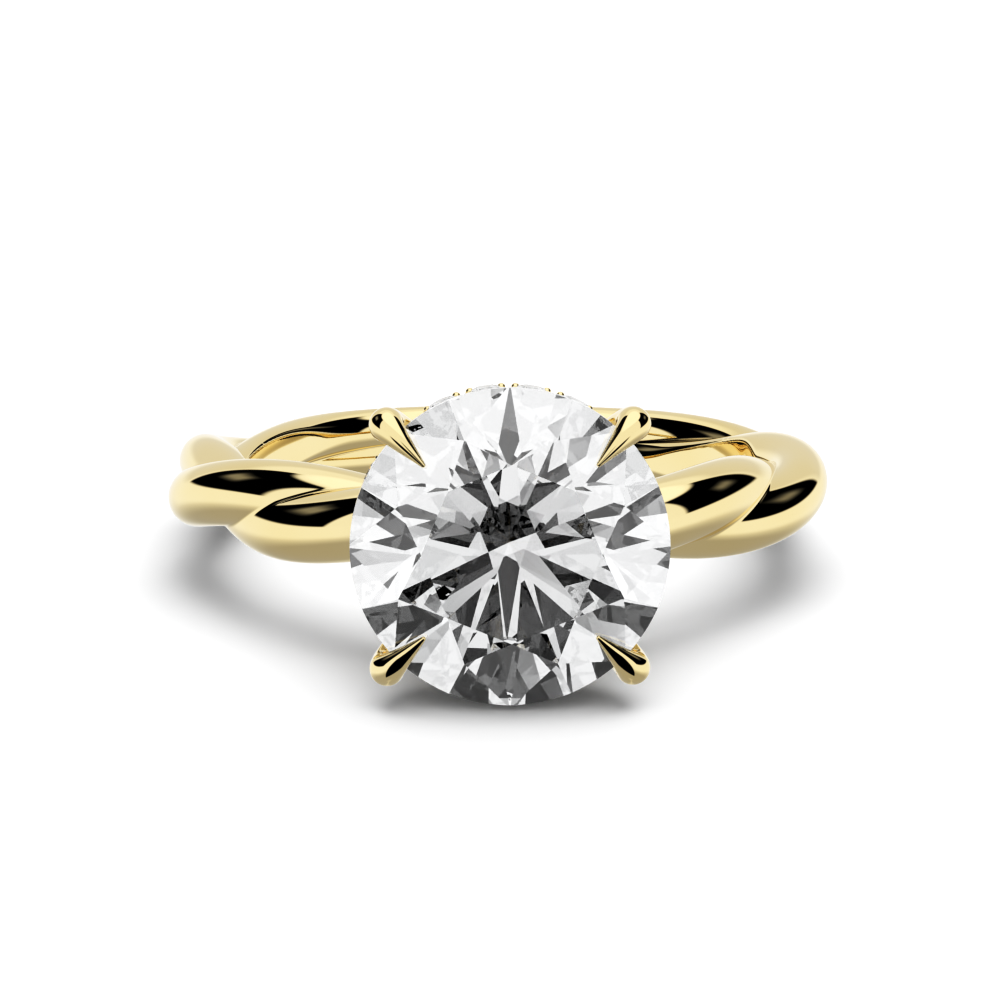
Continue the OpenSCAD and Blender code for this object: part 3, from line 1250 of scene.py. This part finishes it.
@dataclass(frozen=True)
class Panel:
    """A white card or a black flag: a lit or dark area of the studio, with soft edges.

    Attributes:
        azimuth_deg: Middle of the area, where 0 is the camera's side and 90 the right.
        half_width_deg: How far it reaches to either side.
        low_deg: Its lower edge, above the table.
        high_deg: Its upper edge.
        light: How bright it is, where 1 is white.
        edge_deg: Softness of its edges.
    """

    azimuth_deg: float
    half_width_deg: float
    low_deg: float
    high_deg: float
    light: float
    edge_deg: float

    def put_over(self, tree: Tree, angles: Socket, behind: Socket) -> Socket:
        """Lays the panel over the light behind it.

        Args:
            tree: The world's nodes.
            angles: Azimuth and height of a direction, in radians.
            behind: The light without the panel.

        Returns:
            The light with the panel.
        """
        # The vectors' third number isn't used
        middle_deg = (self.azimuth_deg, (self.low_deg + self.high_deg) / 2, 0)
        half_deg = (self.half_width_deg, (self.high_deg - self.low_deg) / 2, 90)
        middle = [math.radians(v) for v in middle_deg]
        full = [math.radians(v - self.edge_deg) for v in half_deg]
        none = [math.radians(v + self.edge_deg) for v in half_deg]
        off = node(tree, "VectorMath", {"operation": "SUBTRACT"}, {1: middle}, {0: angles})
        # The shorter way round to the panel's middle, to either side of it
        half_turn = {1: [math.pi] * 3, 2: [-math.pi] * 3}
        off = node(tree, "VectorMath", {"operation": "WRAP"}, half_turn, {0: off.outputs[0]})
        off = node(tree, "VectorMath", {"operation": "ABSOLUTE"}, links={0: off.outputs[0]})
        soft = {"data_type": "FLOAT_VECTOR", "interpolation_type": "SMOOTHSTEP"}
        ends = {
            RangeIn.FROM_START: full,
            RangeIn.FROM_END: none,
            RangeIn.TO_START: [1, 1, 1],
            RangeIn.TO_END: [0, 0, 0],
        }
        inside = node(tree, "MapRange", soft, ends, {RangeIn.VECTOR: off.outputs[0]})
        across, up, _ = node(tree, "SeparateXYZ", links={0: inside.outputs["Vector"]}).outputs
        cover = node(tree, "Math", {"operation": "MULTIPLY"}, links={0: across, 1: up})
        laid = {MixIn.SHARE: cover.outputs[0], MixIn.FIRST: behind}
        light = node(tree, "Mix", values={MixIn.SECOND: self.light}, links=laid)
        return light.outputs[MixOut.VALUE]


@dataclass(frozen=True)
class Studio:
    """A white table under a round overhead softbox, between white cards and black flags.

    The picture is two exposures in one, as such pictures are: the ring's own is set for the
    gold, and the table's is longer, so that it runs to white.

    Attributes:
        table_half: Half the width of the table, in metres.
        table: Finish of the table.
        walls: Light of the walls where there is no panel.
        panels: Cards and flags, each over those before it.
        overhead_lean_deg: How far the overhead softbox leans to the right.
        overhead_deg: Angle from its middle to its edge.
        overhead_edge_deg: Softness of its edge.
        overhead: Light of the overhead softbox in the ring's exposure.
        overhead_long: The same in the table's exposure.
        backdrop: Light of the walls where the camera sees them.
        contrast: Points of the developing curve between black and white.
        bounces: How often light is followed from facet to facet inside a stone.
    """

    table_half: float = 3.0
    table: PaintedTable = PaintedTable()
    walls: float = 1.0
    panels: tuple[Panel, ...] = (
        # The table fades out below the ring, and is brightest at both sides
        Panel(0, 180, -92, -30, 0.5, 14),
        Panel(100, 45, -24, 4, 1.02, 6),
        Panel(-100, 45, -24, 4, 1.02, 6),
        # Black flags at both sides, with a small lamp before each
        Panel(105, 32, 4, 50, 0.0, 2),
        Panel(-105, 32, 4, 58, 0.0, 2),
        Panel(115, 8, 20, 30, 0.3, 5),
        Panel(-112, 10, 26, 38, 0.35, 5),
        # The dark edge of the table in front, and the camera over it
        Panel(0, 45, -60, 5, 0.0, 2),
        Panel(-2, 10, 7, 28, 0.08, 2),
        # A pale grey card behind the ring
        Panel(180, 40, 2, 40, 0.8, 5),
    )
    overhead_lean_deg: float = 5
    overhead_deg: float = 33
    overhead_edge_deg: float = 3
    overhead: float = 1.2
    overhead_long: float = 3.0
    backdrop: float = 1.0
    contrast: tuple[Point, ...] = ((0.1, 0.04), (0.3, 0.21), (0.55, 0.51), (0.8, 0.81))
    bounces: int = 24

    def build(self) -> None:
        """Makes the table and the light."""
        self.develop(bpy.context.scene)
        self.build_table()
        bpy.context.scene.world = self.world()

    def develop(self, scene: bpy.types.Scene) -> None:
        """Sets how far light is followed and how the picture is developed.

        Args:
            scene: The scene.
        """
        developing = scene.view_settings
        developing.view_transform = "Standard"
        developing.use_curve_mapping = True
        for point in self.contrast:
            developing.curve_mapping.curves[EVERY_COLOUR].points.new(*point)
        developing.curve_mapping.update()
        scene.cycles.max_bounces = self.bounces
        scene.cycles.transmission_bounces = self.bounces
        scene.cycles.glossy_bounces = self.bounces

    def build_table(self) -> None:
        """Makes the table that the ring lies on."""
        mesh = bpy.data.meshes.new("table")
        corners = [(x * self.table_half, y * self.table_half, 0) for x, y in SQUARE]
        mesh.from_pydata(corners, [], [tuple(range(len(corners)))])
        mesh.materials.append(self.table.material())
        table = bpy.data.objects.new("table", mesh)
        bpy.context.scene.collection.objects.link(table)
        # In the ring's exposure the table is the lower half of the world
        table.visible_glossy = table.visible_transmission = False

    def world(self) -> bpy.types.World:
        """Lights the studio.

        Returns:
            The world, bright or dark by direction.
        """
        world = bpy.data.worlds.new("studio")
        world.use_nodes = True
        tree = world.node_tree
        direction = node(tree, "TexCoord").outputs["Generated"]
        ray = node(tree, "LightPath")
        room = self.room(tree, direction)
        over, bright = self.softbox(tree, direction, ray)
        lit = {MixIn.SHARE: over, MixIn.FIRST: room, MixIn.SECOND: bright}
        light = node(tree, "Mix", links=lit).outputs[MixOut.VALUE]
        seen = {MixIn.SHARE: ray.outputs["Is Camera Ray"], MixIn.FIRST: light}
        shown = node(tree, "Mix", values={MixIn.SECOND: self.backdrop}, links=seen)
        background = tree.nodes["Background"]
        background.inputs["Color"].default_value = linear("#FFFFFF")
        tree.links.new(shown.outputs[MixOut.VALUE], background.inputs["Strength"])
        return world

    def room(self, tree: Tree, direction: Socket) -> Socket:
        """Hangs the panels before the walls.

        Args:
            tree: The world's nodes.
            direction: The direction that is looked in.

        Returns:
            The light of the room in that direction, without the softbox.
        """
        x, y, z = node(tree, "SeparateXYZ", links={0: direction}).outputs
        ahead = node(tree, "Math", {"operation": "MULTIPLY"}, {1: -1}, {0: y}).outputs[0]
        azimuth = node(tree, "Math", {"operation": "ARCTAN2"}, links={0: x, 1: ahead})
        height = node(tree, "Math", {"operation": "ARCSINE"}, links={0: z})
        both = {0: azimuth.outputs[0], 1: height.outputs[0]}
        angles = node(tree, "CombineXYZ", links=both).outputs[0]
        light = node(tree, "Value").outputs[0]
        light.default_value = self.walls
        for panel in self.panels:
            light = panel.put_over(tree, angles, light)
        return light

    def softbox(
        self, tree: Tree, direction: Socket, ray: bpy.types.Node
    ) -> tuple[Socket, Socket]:
        """Hangs the round softbox over the ring.

        Args:
            tree: The world's nodes.
            direction: The direction that is looked in.
            ray: What kind of ray looks.

        Returns:
            How far the softbox covers that direction, and its light in that ray's exposure.
        """
        lean = math.radians(self.overhead_lean_deg)
        axis = {1: (math.sin(lean), 0, math.cos(lean))}
        towards = node(tree, "VectorMath", {"operation": "DOT_PRODUCT"}, axis, {0: direction})
        outer = math.cos(math.radians(self.overhead_deg + self.overhead_edge_deg))
        inner = math.cos(math.radians(self.overhead_deg - self.overhead_edge_deg))
        edge, soft = {"From Min": outer, "From Max": inner}, {"interpolation_type": "SMOOTHSTEP"}
        over = node(tree, "MapRange", soft, edge, {"Value": towards.outputs["Value"]})
        kinds = {0: ray.outputs["Is Glossy Ray"], 1: ray.outputs["Is Transmission Ray"]}
        on_ring = node(tree, "Math", {"operation": "MAXIMUM"}, links=kinds).outputs[0]
        exposures = {MixIn.FIRST: self.overhead_long, MixIn.SECOND: self.overhead}
        bright = node(tree, "Mix", values=exposures, links={MixIn.SHARE: on_ring})
        return over.outputs["Result"], bright.outputs[MixOut.VALUE]


def main() -> None:
    """Builds the ring, the camera and the studio, and reports each piece."""
    logging.basicConfig(level=logging.INFO, format="%(message)s")
    place = RestingPlace.of_record(frame["record"])
    finishes = Finishes(PolishedGold().material(), CutDiamond().material())
    Camera().build(place)
    shank = Shank()
    head = Head(shank.line_r)
    band = shank.build(place, finishes)
    carved(band, head.seat(), place.head, Shading.CREASED)
    metal = head.build_metal(place, finishes)
    stones = head.build_stones(place, finishes)
    for piece in (band, *metal, *stones):
        log.info("%s: %d faces", piece.name, len(piece.data.polygons))
    Studio().build()


if __name__ == "__main__":
    main()
